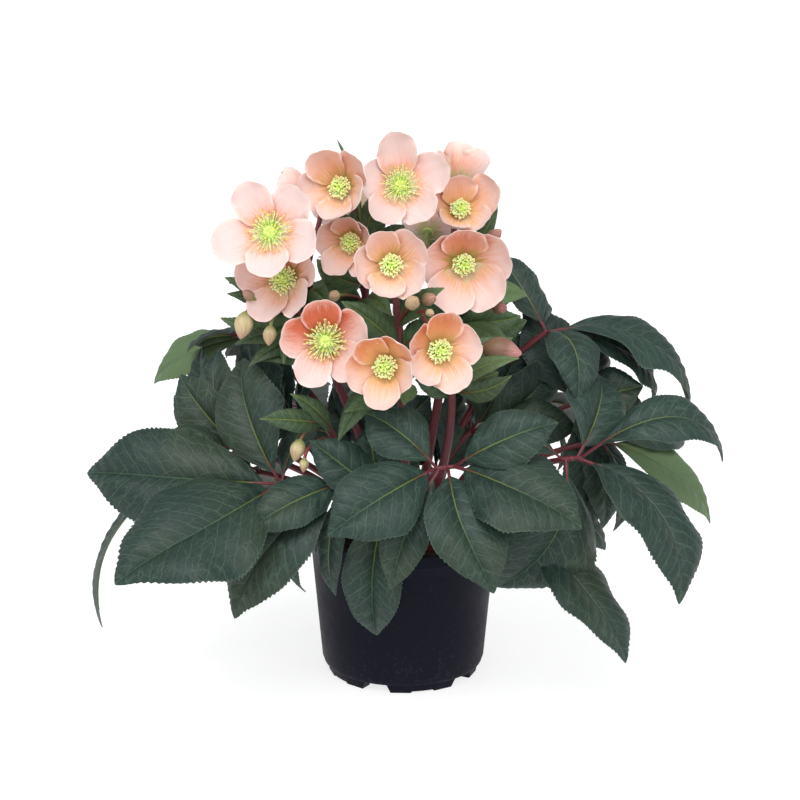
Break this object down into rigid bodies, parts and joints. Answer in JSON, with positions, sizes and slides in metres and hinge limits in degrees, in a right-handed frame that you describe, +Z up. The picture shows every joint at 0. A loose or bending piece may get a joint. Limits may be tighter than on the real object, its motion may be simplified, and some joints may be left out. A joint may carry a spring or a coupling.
{
  "type": "hellebore plant",
  "caption": "Hellebore in full bloom in a round footed nursery pot: wine-red stems with cup-shaped apricot flowers above a spread of dark, toothed, hand-shaped leaves.",
  "frame": {"origin": "on the pot's axis, on the surface that the pot's feet stand on", "axes": "+Z up, -Y towards the front of the plant, +X to the right as seen from the front"},
  "size_m": [0.5741, 0.4281, 0.4918],
  "materials": {
    "pot": "satin moulded plastic",
    "soil": "matt, crumbly",
    "leaf": "leathery, slightly glossy, with pale veins",
    "stem": "smooth, slightly waxy",
    "sepal": "soft, matt, finely veined",
    "boss": "matt"
  },
  "bodies": {
    "root": {"bloom_01_boss": "boss", "bloom_01_sepals": "sepal", "bloom_02_boss": "boss", "bloom_02_sepals": "sepal", "bloom_03_boss": "boss", "bloom_03_sepals": "sepal", "bloom_04_boss": "boss", "bloom_04_sepals": "sepal", "bloom_05_boss": "boss", "bloom_05_sepals": "sepal", "bloom_06_boss": "boss", "bloom_06_sepals": "sepal", "bloom_07_boss": "boss", "bloom_07_sepals": "sepal", "bloom_08_boss": "boss", "bloom_08_sepals": "sepal", "bloom_09_boss": "boss", "bloom_09_sepals": "sepal", "bloom_10_boss": "boss", "bloom_10_sepals": "sepal", "bloom_11_boss": "boss", "bloom_11_sepals": "sepal", "bloom_12_boss": "boss", "bloom_12_sepals": "sepal", "bloom_13_boss": "boss", "bloom_13_sepals": "sepal", "bloom_14_boss": "boss", "bloom_14_sepals": "sepal", "bloom_15_boss": "boss", "bloom_15_sepals": "sepal", "bloom_16_boss": "boss", "bloom_16_sepals": "sepal", "leaf_back": "leaf", "leaf_back_left": "leaf", "leaf_back_right": "leaf", "leaf_front": "leaf", "leaf_front_left": "leaf", "leaf_front_low": "leaf", "leaf_left_back": "leaf", "leaf_left_front": "leaf", "leaf_left_high": "leaf", "leaf_left_mid": "leaf", "leaf_right_front": "leaf", "leaf_right_high": "leaf", "leaf_right_low": "leaf", "leaf_right_mid": "leaf", "pot": "pot", "soil": "soil", "stem_back": "stem", "stem_front": "stem", "stem_front_right": "stem", "stem_left": "stem", "stem_low": "stem", "stem_right": "stem", "stem_top_left": "stem"}
  },
  "joints": []
}
